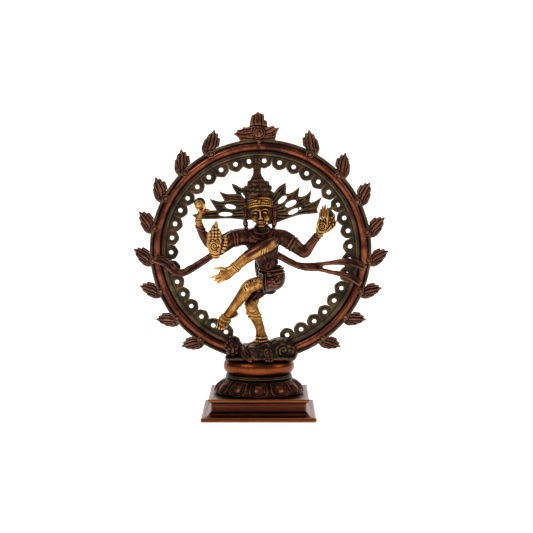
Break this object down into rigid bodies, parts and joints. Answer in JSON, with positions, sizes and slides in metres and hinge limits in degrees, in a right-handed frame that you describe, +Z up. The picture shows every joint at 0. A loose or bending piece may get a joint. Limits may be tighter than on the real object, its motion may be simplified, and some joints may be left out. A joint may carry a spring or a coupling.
{
  "type": "dancing deity statue",
  "caption": "Cast brass dancing figure in a flaming ring, on an oval lotus pedestal and a stepped rectangular plinth, with an antique two-tone patina.",
  "frame": {"origin": "centre of the object's box at the height of the surface that the plinth stands on", "axes": "+Z up, +Y away from the figure's front, +X towards the figure's left hand"},
  "size_m": [0.1398, 0.05, 0.1651],
  "materials": {
    "plinth_copper": "red-brown aged copper lacquer over cast brass, worn bright on the edges",
    "lotus_bronze": "dark red-brown patina, redder on the petals",
    "neck_bronze": "dark bronze patina with brass showing on the ridges",
    "cushion_copper": "burnished copper-brown lacquer",
    "tie_steel": "plain zinc-plated steel",
    "dwarf_bronze": "near-black patina with copper highlights",
    "ring_bronze": "olive-brown antique patina",
    "moulding_copper": "red-brown patina rubbed to copper on the crest",
    "loop_bronze": "olive-brown antique patina",
    "finial_bronze": "brown patina with brass high spots",
    "flame_bronze": "brown patina with brass high spots",
    "body_bronze": "dark chocolate patina with reddish rubbed areas",
    "cloth_bronze": "dark patina with engraved folds",
    "tail_bronze": "green-brown patina",
    "face_brass": "polished golden brass, dark in the recesses",
    "crown_bronze": "brown patina with brass high spots",
    "hair_bronze": "dark olive-brown patina",
    "limb_brass": "polished golden brass, dark in the recesses",
    "sash_bronze": "dark brown patina"
  },
  "bodies": {
    "root": {"plinth": "plinth_copper", "lotus_pedestal": "lotus_bronze", "neck_band": "neck_bronze", "cushion_disc": "cushion_copper", "tie_stud": "tie_steel", "tie_washer": "tie_steel", "tie_nut": "tie_steel", "dwarf_body": "dwarf_bronze", "dwarf_head": "dwarf_bronze", "dwarf_limbs": "dwarf_bronze", "ring_band": "ring_bronze", "ring_moulding": "moulding_copper", "loop_border": "loop_bronze", "ring_finial": "finial_bronze", "flame_right_1": "flame_bronze", "flame_right_2": "flame_bronze", "flame_right_3": "flame_bronze", "flame_right_4": "flame_bronze", "flame_right_5": "flame_bronze", "flame_right_6": "flame_bronze", "flame_right_7": "flame_bronze", "flame_right_8": "flame_bronze", "flame_left_1": "flame_bronze", "flame_left_2": "flame_bronze", "flame_left_3": "flame_bronze", "flame_left_4": "flame_bronze", "flame_left_5": "flame_bronze", "flame_left_6": "flame_bronze", "flame_left_7": "flame_bronze", "flame_left_8": "flame_bronze", "torso": "body_bronze", "hip_cloth": "cloth_bronze", "cloth_tail": "tail_bronze", "necklace": "body_bronze", "head": "face_brass", "earrings": "crown_bronze", "crown": "crown_bronze", "crown_post": "crown_bronze", "hair_fan_right": "hair_bronze", "hair_fan_left": "hair_bronze", "drum_arm": "body_bronze", "drum_hand": "limb_brass", "drum": "limb_brass", "abhaya_arm": "body_bronze", "abhaya_hand": "limb_brass", "cobra_coil": "limb_brass", "crossing_arm": "limb_brass", "crossing_bracelet": "limb_brass", "flame_arm": "body_bronze", "flame_hand": "limb_brass", "standing_leg": "limb_brass", "knee_band": "limb_brass", "raised_leg": "limb_brass", "raised_anklet": "limb_brass", "sash_right": "sash_bronze", "sash_left": "sash_bronze"}
  },
  "joints": []
}
